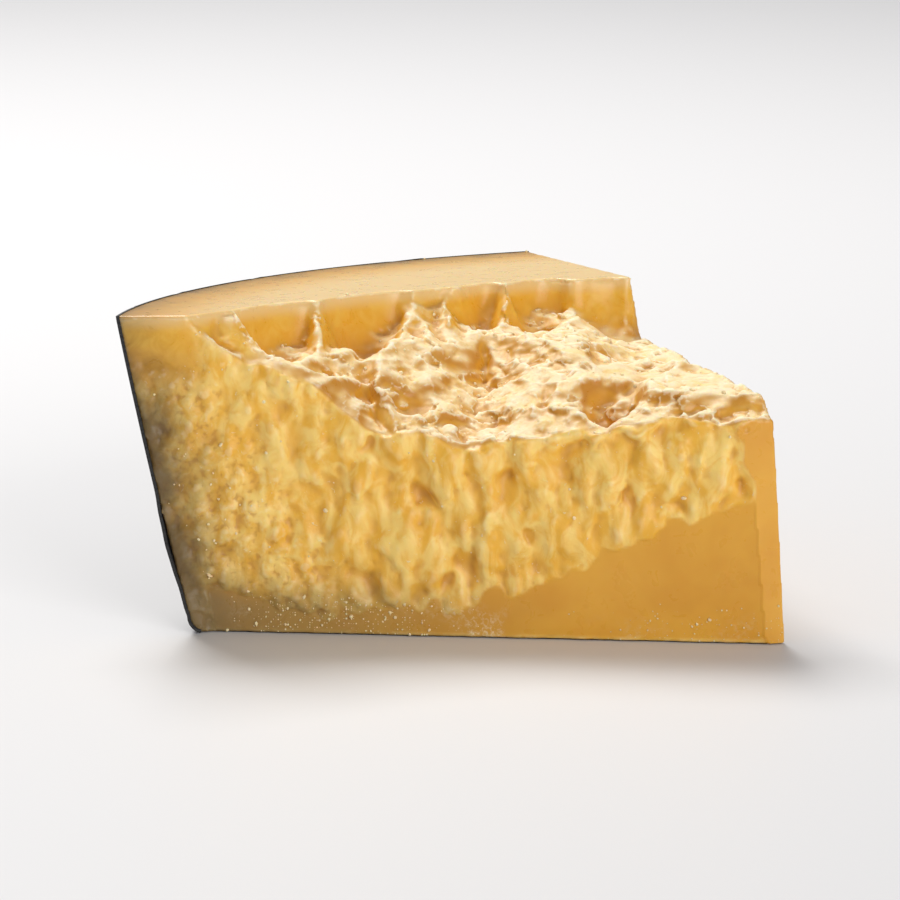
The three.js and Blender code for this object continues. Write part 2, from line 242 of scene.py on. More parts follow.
def scattered_cells(at, size, seed):
    """The scattered centre nearest to each point, and the random draw of its cell.

    Gives how far it is, how much further the next one is, the way from it, and the draw.
    """
    nearest = np.full(len(at), np.inf)
    second = np.full(len(at), np.inf)
    offset = np.zeros((len(at), 3))
    drawn = np.zeros((len(at), 3))
    for cell, away in cells_around(at, size, seed):
        distance = np.linalg.norm(away, axis=1)
        closer = distance < nearest
        second = np.where(closer, nearest, np.minimum(second, distance))
        nearest = np.where(closer, distance, nearest)
        offset[closer] = away[closer]
        drawn[closer] = chance(cell[closer], seed + 1)
    return nearest, second - nearest, offset, drawn


def splinters(at, size, seed, step, tilt):
    """Height of flat splinters, each with its own level and tilt, as brittle cheese breaks."""
    _, gap, offset, drawn = scattered_cells(at, size, seed)
    lean = (offset * (2 * drawn - 1)).sum(1)
    return step * (2 * drawn[:, 0] - 1) * ease(gap, 0, 0.12) + tilt * lean


def scoops(at, size, seed, depth, tilt):
    """Height of shallow tilted scoops that meet in sharp ridges, as hard cheese breaks."""
    lowest = np.full(len(at), np.inf)
    for cell, away in cells_around(at, size, seed):
        lean = (away * (2 * chance(cell, seed + 1) - 1)).sum(1)
        lowest = np.minimum(lowest, depth * (away * away).sum(1) + tilt * lean)
    return lowest - lowest.mean()


def set_group(piece, name, weights):
    """Stores a vertex group from an array of weights."""
    group = piece.vertex_groups.new(name=name)
    levels = np.round(np.clip(weights, 0, 1) * GROUP_LEVELS).astype(int)
    for level in range(GROUP_LEVELS + 1):
        chosen = np.flatnonzero(levels == level)
        if len(chosen):
            group.add(chosen.tolist(), level / GROUP_LEVELS, "REPLACE")


def weights_of(piece, name):
    index = piece.vertex_groups[name].index
    own = (next((g.weight for g in point.groups if g.group == index), 0.0) for point in piece.data.vertices)
    return np.array(list(own))


def push(piece, group, height):
    """Moves the points of a vertex group along their normals."""
    place_points(piece, points_of(piece) + normals_of(piece) * (height * weights_of(piece, group))[:, None])


def roughen(piece, group, strength, size, stretch=(1, 1, 1), turn=(0, 0, 0), **texture_settings):
    """Pushes the points of a vertex group along their normals by noise of the given grain size."""
    texture = bpy.data.textures.new("roughness", "CLOUDS")
    for key, value in texture_settings.items():
        setattr(texture, key, value)
    texture.noise_scale = 1.0
    scale = Matrix.Diagonal((*(size * s for s in stretch), 1))
    grain = bpy.data.objects.new("grain", None)
    grain.matrix_world = Matrix.Translation(TEXTURE_ORIGIN) @ Euler(turn).to_matrix().to_4x4() @ scale
    bpy.context.collection.objects.link(grain)
    bpy.context.view_layer.update()
    apply_modifier(
        piece,
        "DISPLACE",
        texture=texture,
        texture_coords="OBJECT",
        texture_coords_object=grain,
        vertex_group=group,
        strength=strength,
        mid_level=0.5,
    )
    bpy.data.objects.remove(grain)
    bpy.data.textures.remove(texture)


# Materials


class Value:
    """A shader socket in an expression: arithmetic on it adds Math nodes."""

    def __init__(self, finish, socket):
        self.finish = finish
        self.socket = socket

    def __add__(self, other):
        return self.finish.math("ADD", self, other)

    __radd__ = __add__

    def __mul__(self, other):
        return self.finish.math("MULTIPLY", self, other)

    __rmul__ = __mul__

    def __sub__(self, other):
        return self.finish.math("SUBTRACT", self, other)

    def __rsub__(self, other):
        return self.finish.math("SUBTRACT", other, self)


class Finish:
    """The nodes of one material."""

    def __init__(self, name):
        self.material = bpy.data.materials.new(name)
        self.material.use_nodes = True
        self.tree = self.material.node_tree
        self.shader = self.tree.nodes["Principled BSDF"]
        place = {"Vector": self.node("ShaderNodeTexCoord", {}, {}, "Object"), "Scale": 1 / MM}
        self.place = self.node("ShaderNodeVectorMath", {"operation": "SCALE"}, place)

    def node(self, kind, settings, inputs, output=0):
        """Adds a node with its settings and socket values or links, and gives one of its outputs."""
        made = self.tree.nodes.new(kind)
        for key, value in settings.items():
            setattr(made, key, value)
        for key, value in inputs.items():
            self.feed(made.inputs[key], value)
        return Value(self, made.outputs[output])

    def feed(self, socket, value):
        if isinstance(value, Value):
            self.tree.links.new(value.socket, socket)
        elif hasattr(socket.default_value, "__len__") and len(socket.default_value) == 4:
            socket.default_value = (*value[:3], 1)
        else:
            socket.default_value = value

    def math(self, operation, *values):
        return self.node("ShaderNodeMath", {"operation": operation}, dict(enumerate(values)))

    def mix(self, factor, a, b):
        """A colour between a and b."""
        settings = {"data_type": "RGBA", "clamp_factor": True}
        return self.node("ShaderNodeMix", settings, {0: factor, 6: a, 7: b}, 2)

    def layers(self, colour, *layers):
        """Lays colours over a first one in turn, each through its own mask."""
        for mask, over in layers:
            colour = self.mix(mask, colour, over)
        return colour

    def step(self, value, low, high):
        """0 at low and before it, 1 at high and past it, smooth between. High may be the smaller one."""
        inputs = {"Value": value, "From Min": low, "From Max": high}
        return self.node("ShaderNodeMapRange", {"interpolation_type": "SMOOTHSTEP"}, inputs)

    def noise(self, size, detail=2.0, roughness=0.5, distortion=0.0, stretch=None):
        """Noise from 0 to 1 with blotches of the given size in millimetres."""
        inputs = {
            "Vector": self.stretched(stretch),
            "Scale": 1 / size,
            "Detail": detail,
            "Roughness": roughness,
            "Distortion": distortion,
        }
        return self.node("ShaderNodeTexNoise", {}, inputs)

    def stretched(self, stretch):
        if not stretch:
            return self.place
        inputs = {"Vector": self.place, "Scale": tuple(1 / s for s in stretch)}
        return self.node("ShaderNodeMapping", {}, inputs)

    def bump(self, height, distance, strength=1.0, under=None):
        inputs = {"Height": height, "Distance": distance, "Strength": strength}
        if under is not None:
            inputs["Normal"] = under
        return self.node("ShaderNodeBump", {}, inputs)

    def channels(self, attribute):
        """The red, green and blue of a colour attribute of the mesh."""
        split = {"Color": self.node("ShaderNodeAttribute", {"attribute_name": attribute}, {}, "Color")}
        names = ("Red", "Green", "Blue")
        return [self.node("ShaderNodeSeparateColor", {}, split, name) for name in names]

    def rind_distance(self):
        """Millimetres inwards from the curved rind, up from the base and down from the cut top."""
        split = {"Vector": self.place}
        x, y, z = (self.node("ShaderNodeSeparateXYZ", {}, split, axis) for axis in "XYZ")
        dx = x - AXIS.x / MM
        dy = y - AXIS.y / MM
        out = self.math("SQRT", dx * dx + dy * dy)
        slope = (TOP_RADIUS - BASE_RADIUS) / CHUNK_HEIGHT
        top = (dx + CORNER_REACH / MM) * TOP_RISE - dy * TOP_FALL + CHUNK_HEIGHT / MM
        return z * slope + BASE_RADIUS / MM - out, z, top - z

    def set(self, **sockets):
        """Sets or links the shader's own sockets, named with underscores for spaces."""
        for key, value in sockets.items():
            self.feed(self.shader.inputs[key.replace("_", " ")], value)


def paste_finish(colours):
    """Golden cheese: waxy where it was cut, lumpy where it tore, pale and flaky where it broke. Painted
    shade darkens its hollows, creases and the walls that face away from the top light. Painted light
    brightens the ledges that face up, and painted highlights run along its ridges and top edge.
    """
    paste = Finish("cheese_paste")
    step = paste.step
    crease, hollow_shade, _ = paste.channels("relief")
    torn, shaded_wall, lit_ledge = paste.channels("zones")
    rough = paste.math("MAXIMUM", torn, lit_ledge)
    inward, height, under_top = paste.rind_distance()

    blotch = paste.noise(16, 3, 0.55, 0.4)
    mottle = paste.noise(3.4, 3, 0.6, 0.6)
    grain = paste.noise(1.1, 5, 0.72, 0.3)
    blotch_shift = blotch - 0.5
    mottle_shift = mottle - 0.5

    # Each kind of face
    cut_colour = paste.mix(step(blotch, 0.3, 0.7), colours.cut, colours.cut_warm)
    # Paler paste on the cut top, and a painted highlight along its edge about 2 mm down
    pale_top_and_rim = step(under_top + mottle_shift * 0.8, 1.8, 0.2) * (1 - step(inward, 24, 4) * 0.8)
    streak = paste.noise(3.8, 3, 0.55, 0.8, stretch=(1, 1, 1.7))
    torn_colour = paste.mix(step(streak, 0.36, 0.62), colours.torn_streak_and_shade, colours.torn)
    # Walls, the break facing sideways: waxy paste, partly painted shade as they face away from the top
    # light
    shaded_wall_colour = paste.layers(
        colours.shaded_wall,
        (step(mottle, 0.35, 0.7) * 0.6, colours.wall_pale),
        # Painted shade: walls darken further below the top
        (step(under_top + blotch_shift * 4, 5, 12) * 0.85, colours.hollow_shade),
        # Painted highlight along the rim just under the top
        (step(under_top + mottle_shift * 1.5, 3.4, 0.5) * 0.85, colours.cut_top),
    )
    stain = paste.noise(5, 2, 0.5, 1.0)
    # Ledges, the break facing up: pale broken paste, partly painted light as they face the top light
    lit_ledge_colour = paste.layers(
        colours.ledge_warm,
        (step(mottle, 0.3, 0.62), colours.lit_ledge),
        (step(stain, 0.52, 0.68) * 0.5, colours.torn),
    )

    # Crystals; paste darkened beside the rind, partly painted shade; paste darker towards the bottom near
    # the rind end; and dust along the bottom
    chips = paste.noise(0.9, 2, 0.5, 1.2)
    speck = step(chips + mottle_shift * 0.25, 0.70, 0.76) * rough
    # Paste darkened beside the rind; on the front's left this is partly painted shade
    side = step(inward + blotch_shift * 12 + mottle_shift * 6 + step(height, 34, 52) * 5, 23, 0.5)
    lid = step(under_top, 6, 0.5) * step(inward, 0.5, 3)
    # Darker towards the bottom near the rind end
    low = step(height + blotch_shift * 6, 14, 4) * step(inward, 80, 10)
    dust = step(height + mottle_shift * 9, 8.0, 1.5) * step(paste.noise(1.0, 4, 0.75, 0.6), 0.46, 0.66)
    patch = step(paste.noise(14, 2, 0.5), 0.5, 0.64) * (0.35 + step(inward, 12, 24) * step(inward, 72, 50))

    # Painted shade, deepest at the bottom of the hollows
    deepest_shade = step(hollow_shade, 0.56, 0.98)
    colour = paste.layers(
        cut_colour,
        (pale_top_and_rim, colours.cut_top),
        (torn, torn_colour),
        (shaded_wall, shaded_wall_colour),
        (lit_ledge, lit_ledge_colour),
        # Painted shade in hollows and creases: darker torn paste, wall paste, then the hollow colour
        (step(hollow_shade, 0.5, 0.74) * torn * 0.7, colours.torn_streak_and_shade),
        (step(hollow_shade, 0.52, 0.7) * (shaded_wall * 0.6 + lit_ledge * 0.42), colours.shaded_wall),
        (deepest_shade * (torn * 0.4 + shaded_wall * 0.6 + lit_ledge * 0.65), colours.hollow_shade),
        (step(crease, 0.54, 0.95) * 0.55 * rough, colours.hollow_shade),
        # Painted highlight on thin ridges and flakes, partly the flakes' own pale paste
        (step(crease, 0.44, 0.05) * (torn * 0.22 + lit_ledge * 0.85 + shaded_wall * 0.5), colours.ridge_highlight),
        (speck * 0.5, colours.speck),
        # Paste darkened beside the rind, partly painted shade
        (side * side * (1 - lid * 0.12) * 0.92, colours.near_rind),
        # Darker towards the bottom near the rind end
        (low * 0.7, colours.near_base),
        (dust * patch * 0.5, colours.speck),
    )

    surface = paste.bump(grain * (0.25 + lit_ledge * 0.75) * rough + mottle * rough * 0.2, 0.8 * MM, 0.55)
    surface = paste.bump(speck, 0.12 * MM, 0.5, surface)
    paste.set(
        Base_Color=colour,
        Roughness=0.3 + lit_ledge * 0.22 + torn * 0.06 + mottle_shift * 0.25,
        Normal=surface,
        IOR=1.45,
        Subsurface_Weight=0.25,
        Subsurface_Radius=(1.0, 0.55, 0.15),
        Subsurface_Scale=2.0 * MM,
    )
    return paste.material


def coat_finish(colours):
    """Black coat with the weave of the cloth that the cheese was pressed in."""
    coat = Finish("rind_coat")

    def threads(direction, scale, distortion):
        inputs = {"Vector": coat.place, "Scale": scale, "Distortion": distortion}
        return coat.node("ShaderNodeTexWave", {"bands_direction": direction}, inputs)

    weave = coat.math("MAXIMUM", threads("Z", 0.36, 0.8), threads("DIAGONAL", 0.3, 1.0))
    scuff = coat.noise(9, 4, 0.6)
    wear = coat.step(coat.noise(0.8, 3, 0.7), 0.66, 0.74) * coat.step(scuff, 0.45, 0.7)
    coat.set(
        Base_Color=coat.mix(wear * 0.5, colours.coat, colours.coat_worn),
        Roughness=0.34 + scuff * 0.22,
        Normal=coat.bump(weave + scuff * 0.6, 0.16 * MM, 0.7),
        IOR=1.5,
    )
    return coat.material


def grain_finish(colours):
    """Pale dry grains."""
    grains = Finish("cheese_grains")
    mottle = grains.noise(1.5, 3, 0.6)
    grains.set(
        Base_Color=grains.mix(mottle, colours.ledge_warm, colours.speck),
        Roughness=0.5 + mottle * 0.2,
        Normal=grains.bump(grains.noise(0.2, 2, 0.6), 0.08 * MM, 0.6),
        Subsurface_Weight=0.2,
        Subsurface_Scale=1 * MM,
    )
    return grains.material


# Settings a user would change


def colour_property(name, description, default):
    return bpy.props.FloatVectorProperty(
        name=name, description=description, subtype="COLOR", size=3, min=0, max=1, default=default
    )


def length_property(name, description, default):
    return bpy.props.FloatProperty(
        name=name, description=description, subtype="DISTANCE", unit="LENGTH", default=default
    )


class CheeseColours(bpy.types.PropertyGroup):
    """Colours of the paste and of its coat"""

    cut: colour_property("Cut paste", "Paste of the smooth cuts", (0.77, 0.40, 0.044))
    cut_warm: colour_property("Warm cut paste", "Deeper blotches of the cut paste", (0.70, 0.33, 0.030))
    # Paler paste of the cut top, also painted as a highlight along the top edge
    cut_top: colour_property("Cut top", "Dry pale paste of the cut top", (0.84, 0.60, 0.27))
    torn: colour_property("Torn paste", "Paste on the torn front", (0.95, 0.655, 0.185))
    # Darker streaks of the torn front, also painted as shade in its hollows
    torn_streak_and_shade: colour_property("Deep torn paste", "Darker streaks of the torn front", (0.86, 0.47, 0.052))
    # Walls facing away from the top light: waxy paste, partly painted shade
    shaded_wall: colour_property("Wall", "Waxy paste of the scooped walls", (0.80, 0.41, 0.030))
    wall_pale: colour_property("Pale wall", "Paler mottling of the scooped walls", (0.88, 0.56, 0.10))
    # Ledges facing up: pale broken paste, partly painted light
    lit_ledge: colour_property("Ledge", "Pale paste where it broke", (0.95, 0.78, 0.48))
    ledge_warm: colour_property("Warm ledge", "Warmer mottling of the break", (0.90, 0.66, 0.31))
    # Painted shade at the bottom of hollows and creases, and low on the walls
    hollow_shade: colour_property("Hollow", "Paste at the bottom of hollows and creases", (0.56, 0.24, 0.035))
    # Painted highlight on thin ridges and flakes, partly the flakes' own pale paste
    ridge_highlight: colour_property("Ridge", "Paste on thin ridges and flakes", (0.98, 0.88, 0.64))
    speck: colour_property("Crystal", "Crystals and dry dust", (0.90, 0.78, 0.54))
    # Paste darkened beside the rind, partly painted shade on the front's left
    near_rind: colour_property("Near the rind", "Paste darkened beside the rind", (0.10, 0.062, 0.026))
    # Darker towards the bottom near the rind end
    near_base: colour_property("Near the base", "Paste dulled beside the flat rind", (0.24, 0.165, 0.068))
    coat: colour_property("Coat", "Coat on the rind", (0.012, 0.012, 0.013))
    coat_worn: colour_property("Worn coat", "Pale specks in the coat's weave", (0.35, 0.34, 0.32))


class CheeseSizes(bpy.types.PropertyGroup):
    """Sizes of the fine relief"""

    mesh_step: length_property("Mesh step", "Spacing of the points of the fine surface", 0.46 * MM)
    coat: length_property("Coat", "Thickness of the rind's coat", 0.6 * MM)
    grain: length_property("Grain", "Size of a loose grain", 0.8 * MM)
    view_distance: length_property("View distance", "From the camera to the middle of the chunk", 1.0)


# Operators, one for each piece


class CHEESE_OT_paste(bpy.types.Operator):
    """Gives the solid the fine lumps, scoops and flakes of torn cheese"""

    bl_idname = "cheese.paste"
    bl_label = "Make the paste"

    def execute(self, context):
        piece = copy_of_node("cheese_paste")
        apply_modifier(piece, "REMESH", mode="VOXEL", voxel_size=context.scene.cheese_sizes.mesh_step)
        apply_modifier(piece, "SMOOTH", factor=0.5, iterations=2)
        self.true_up(piece)
        self.mark_zones(piece)
        apply_modifier(piece, "SMOOTH", factor=0.5, iterations=3, vertex_group="waxy")
        self.roughen_front(piece)
        self.roughen_break(piece)
        self.thin_cut_faces(piece)
        self.sink_under_coat(piece, context.scene.cheese_sizes.coat / 2)
        self.store_relief(piece)
        activate(piece)
        bpy.ops.object.shade_smooth()
        self.shade_cuts_flat(piece)
        piece.data.materials.append(paste_finish(context.scene.cheese_colours))
        piece.vertex_groups.clear()
        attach(piece, "root")
        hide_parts(NODE)
        return {"FINISHED"}

    def true_up(self, piece):
        """Puts the points of the cut faces back on their planes, which the remesh leaves rippled."""
        at = points_of(piece)
        toward = normals_of(piece)
        for place, outward in cut_planes():
            distance = (at - np.array(place)) @ np.array(outward)
            near = (np.abs(distance) < SNAP_REACH) & (toward @ np.array(outward) > 0.8)
            at[near] -= distance[near, None] * np.array(outward)
        place_points(piece, at)

    def mark_zones(self, piece):
        """Vertex groups for the cuts, the torn front with its two kinds of lumps, and the break."""
        at = points_of(piece)
        normal = normals_of(piece)
        edges = edges_of(piece)
        x, y, z = at.T
        out = np.hypot(x - AXIS.x, y - AXIS.y)
        planes = cut_planes()[1:]
        back, bevel = (np.abs((at - np.array(place)) @ np.array(outward)) for place, outward in planes)

        shoulder = (z < 4 * MM) & (out > BASE_RADIUS - 2.5 * MM)
        flat = (np.abs(z - top_height(x, y)) < FACE_REACH) | (z < FACE_REACH)
        flat |= (out > rind_radius(z) - FACE_REACH) | shoulder | (back < FACE_REACH)
        smoothed = (np.abs(y - FRONT_Y - BAND_RECESS) < 0.12 * MM) & (normal[:, 1] < -0.985)
        smoothed |= bevel < 0.15 * MM
        rough = ease(spread(1 - (flat | smoothed).astype(float), edges, 5)[:, 0], 0.3, 0.7)

        facing = spread(normal, edges, 10)
        facing /= np.linalg.norm(facing, axis=1)[:, None] + 1e-9
        upward = ease(facing[:, 2], 0.45, 0.8)
        from_rind = x - (AXIS.x - rind_radius(z))
        smooth_corner = ease(z, CHUNK_HEIGHT - 16 * MM, CHUNK_HEIGHT - 6 * MM)
        smooth_corner *= 1 - ease(from_rind, 10 * MM, 17 * MM)
        front = ease(-facing[:, 1], 0.55, 0.8) * (1 - ease(y - FRONT_Y, 5 * MM, 8 * MM))
        front *= 1 - 0.92 * smooth_corner
        drips = ease(from_rind - 0.35 * (CHUNK_HEIGHT - z), 6 * MM, 20 * MM)
        zones = {
            "waxy": rough * (1 - 0.9 * (1 - front) * upward),
            "front": rough * front,
            "drips": rough * front * drips,
            "crumbly": rough * front * (1 - drips),
            "slope": rough * (1 - front),
            "ledges": rough * (1 - front) * upward,
            "cuts": ease(spread(flat.astype(float), edges, 3)[:, 0], 0.6, 0.95),
        }
        for name, weights in zones.items():
            set_group(piece, name, weights)

    def roughen_front(self, piece):
        """Upright waxy lumps that melt into each other, and a crumbly stretch beside the rind."""
        tall = {"noise_basis": "VORONOI_F1", "noise_depth": 0}
        soft = {"noise_basis": "IMPROVED_PERLIN", "noise_depth": 1}
        roughen(piece, "drips", -0.5 * MM, 4.4 * MM, (1, 1, 2.2), **tall)
        roughen(piece, "drips", 2.2 * MM, 4.0 * MM, (1, 1, 2.6), **soft)
        roughen(piece, "drips", 0.6 * MM, 2.0 * MM, (1, 1, 1.6), **soft)
        roughen(piece, "crumbly", -1.0 * MM, 3.2 * MM, (1, 1, 1.3), **tall)
        roughen(piece, "crumbly", 1.5 * MM, 2.2 * MM, (1, 1, 1.2), **soft)
        roughen(piece, "front", 0.3 * MM, 1.5 * MM, (1, 1, 1.4), **soft)
        apply_modifier(piece, "SMOOTH", factor=0.5, iterations=5, vertex_group="front")
        nearest, _, _, drawn = scattered_cells(points_of(piece), np.array((2.2, 2.2, 2.6)) * MM, 7)
        granules = 0.4 * MM * ease(1 - nearest, 0.45, 0.9) * ease(drawn[:, 0], 0.55, 0.95)
        push(piece, "front", granules * (0.4 + 0.6 * weights_of(piece, "crumbly")))
        roughen(piece, "crumbly", 0.45 * MM, 1.0 * MM, **soft)

    def roughen_break(self, piece):
        """Ledges broken in scoops of two sizes, with patches of shards and a fine slanting grain."""
        at = points_of(piece)
        broad = scoops(at, np.array((6.2, 4.6, 4.2)) * MM, 11, 0.7 * MM, 0.6 * MM)
        small = scoops(at, np.array((2.2, 1.7, 1.5)) * MM, 15, 0.4 * MM, 0.4 * MM)
        shards = splinters(at, np.array((3.8, 3.0, 2.4)) * MM, 23, 0.2 * MM, 0.7 * MM)
        patch = scattered_cells(at, np.array((9.0, 8.0, 7.0)) * MM, 19)[3]
        chipped = 0.25 + 0.75 * ease(patch[:, 1], 0.35, 0.65)
        push(piece, "ledges", broad + small * chipped + shards * ease(patch[:, 0], 0.5, 0.75))
        turn = (0, 0, math.radians(-24))
        soft = {"noise_basis": "IMPROVED_PERLIN", "noise_depth": 2}
        roughen(piece, "ledges", 0.25 * MM, 0.9 * MM, (1, 3, 2), turn, **soft)

    def thin_cut_faces(self, piece):
        """Fewer faces where the cuts left the paste flat."""
        settings = {"decimate_type": "COLLAPSE", "vertex_group": "cuts", "vertex_group_factor": 8}
        apply_modifier(piece, "DECIMATE", ratio=0.45, **settings)

    def sink_under_coat(self, piece, depth):
        """Draws the paste in from the rind by half the coat's thickness, so that the coat covers it."""
        at = points_of(piece)
        dx, dy = at[:, 0] - AXIS.x, at[:, 1] - AXIS.y
        out = np.hypot(dx, dy)
        at[:, 2] = np.maximum(at[:, 2], depth)
        pull = np.minimum(1, (rind_radius(at[:, 2]) - depth) / np.maximum(out, MM))
        at[:, 0] = AXIS.x + dx * pull
        at[:, 1] = AXIS.y + dy * pull
        place_points(piece, at)

    def store_relief(self, piece):
        """Keeps creases, hollows and zones as colour attributes for the material. The material paints shade
        in the hollows and creases and highlights on the ridges, and paints the ledges and walls lighter or
        darker by how they face.
        """
        at = points_of(piece)
        normal = normals_of(piece)
        edges = edges_of(piece)
        fine = spread(at, edges, 2)
        wide = spread(fine, edges, 50)
        crease = ((fine - at) * normal).sum(1) / (0.22 * MM)
        hollow_shade = ((wide - fine) * normal).sum(1) / (1.6 * MM)
        # Facing up splits the break into ledges painted lighter and walls painted darker
        facing_up = ease(spread(normal, edges, 2)[:, 2], 0.5, 0.92)
        torn = weights_of(piece, "front")
        slope = weights_of(piece, "slope")
        whole = np.ones(len(at))
        self.store(piece, "relief", 0.5 + crease, 0.5 + hollow_shade, whole, whole)
        self.store(piece, "zones", torn, slope * (1 - facing_up), slope * facing_up, whole)

    def store(self, piece, name, *channels):
        stored = piece.data.color_attributes.new(name, "FLOAT_COLOR", "POINT")
        values = np.clip(np.stack(channels, 1), 0, 1).astype(np.float32)
        stored.data.foreach_set("color", values.ravel())

    def shade_cuts_flat(self, piece):
        """Gives the large cut faces their own normals, so that their rounded edges don't shade them."""
        normal = np.empty(3 * len(piece.data.polygons), dtype=np.float32)
        piece.data.polygons.foreach_get("normal", normal)
        sides = [outward for _, outward in cut_planes()] + [FORWARD, DOWN]
        flat = (normal.reshape(-1, 3) @ np.array(sides).T > 0.9992).any(1)
        piece.data.polygons.foreach_set("use_smooth", ~flat)
        piece.data.update()


class CHEESE_OT_coat(bpy.types.Operator):
    """Spins the thin black coat round the curved side and over the flat rind"""

    bl_idname = "cheese.coat"
    bl_label = "Make the rind's coat"

    def execute(self, context):
        piece = self.spin_profile()
        self.trim(piece)
        self.follow_front(piece)
        self.loosen(piece)
        thickness = context.scene.cheese_sizes.coat
        apply_modifier(piece, "SOLIDIFY", thickness=thickness, offset=-1, use_even_offset=True)
        activate(piece)
        bpy.ops.object.shade_smooth_by_angle(angle=math.radians(40))
        piece.data.materials.append(coat_finish(context.scene.cheese_colours))
        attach(piece, "root")
        return {"FINISHED"}

    def spin_profile(self):
        """The rind's outer surface: across the flat rind, round the shoulder and up the side."""
        reach = BASE_RADIUS - 2.6 * MM
        outline = [(reach * k / FLAT_STEPS, 0.0) for k in range(1, FLAT_STEPS + 1)]
        for k in range(1, SHOULDER_STEPS + 1):
            turn = math.pi / 2 * k / SHOULDER_STEPS
            outline.append((reach + SHOULDER_OUT * math.sin(turn), SHOULDER_UP * (1 - math.cos(turn))))
        heights = np.linspace(5 * MM, CHUNK_HEIGHT + 3 * MM, SIDE_STEPS)
        outline += [(float(rind_radius(z)), z) for z in heights]
        start = math.pi + math.radians(4)
        points = [AXIS + Vector((r * math.cos(start), r * math.sin(start), z)) for r, z in outline]
        mesh = bpy.data.meshes.new("rind_coat")
        mesh.from_pydata(points, [(k, k + 1) for k in range(len(points) - 1)], [])
        piece = bpy.data.objects.new("rind_coat", mesh)
        bpy.context.collection.objects.link(piece)
        activate(piece)
        bpy.ops.object.mode_set(mode="EDIT")
        bpy.ops.mesh.select_all(action="SELECT")
        angle = WEDGE_ANGLE + math.radians(8)
        bpy.ops.mesh.spin(steps=ROUND_STEPS, angle=angle, center=AXIS, axis=(0, 0, 1))
        bpy.ops.object.mode_set(mode="OBJECT")
        side = max(piece.data.polygons, key=lambda face: face.center.z)
        if side.normal.dot(side.center - AXIS) < 0:
            piece.data.flip_normals()
        return piece

    def trim(self, piece):
        """Cuts the coat by the planes of the front and of the cuts, a little clear of the paste."""
        (corner, top), (tip, back), (band, bevel) = cut_planes()
        planes = (
            (tip + Vector((0.15 * MM, 0, 0)), back),
            (corner + Vector((0, 0, 0.05 * MM)), top),
            (band + Vector((0, 1.0 * MM, 0)), bevel),
            (Vector((0, COAT_FRONT, 0)), FORWARD),
        )
        activate(piece)
        bpy.ops.object.mode_set(mode="EDIT")
        for place, outward in planes:
            bpy.ops.mesh.select_all(action="SELECT")
            bpy.ops.mesh.bisect(plane_co=place, plane_no=outward, clear_outer=True)
        bpy.ops.mesh.select_mode(type="FACE")
        bpy.ops.mesh.select_all(action="DESELECT")
        bpy.ops.object.mode_set(mode="OBJECT")
        for face in piece.data.polygons:
            face.select = face.center.z < 0.01 * MM
        bpy.ops.object.mode_set(mode="EDIT")
        recess = Vector((0, FRONT_Y + BAND_RECESS + 0.8 * MM, 0))
        bpy.ops.mesh.bisect(plane_co=recess, plane_no=FORWARD, clear_outer=True)
        bpy.ops.mesh.select_mode(type="VERT")
        bpy.ops.object.mode_set(mode="OBJECT")

    def follow_front(self, piece):
        """Draws the coat's front edge back to the smoothed band."""
        at = points_of(piece)
        x, y, z = at.T
        edge = AXIS.x - rind_radius(z)
        at[:, 1] = np.maximum(y, COAT_FRONT + COAT_TUCK * ease(x - edge, 0.8 * MM, 5 * MM))
        place_points(piece, at)

    def loosen(self, piece):
        """Lets the coat stand slightly off the paste, most of all low on the front edge."""
        at = points_of(piece)
        x, y, z = at.T
        out = np.stack([x - AXIS.x, y - AXIS.y], 1)
        radius = np.hypot(*out.T)[:, None] + 1e-9
        near_front = 1 - ease(y - FRONT_Y, 1 * MM, 12 * MM)
        lift = 0.55 * MM * near_front * ease(z, 8 * MM, 14 * MM) * (1 - ease(z, 20 * MM, 28 * MM))
        lift *= 0.85 + 0.15 * np.sin(z / (1.2 * MM))
        at[:, :2] += out / radius * lift[:, None]
        place_points(piece, at)


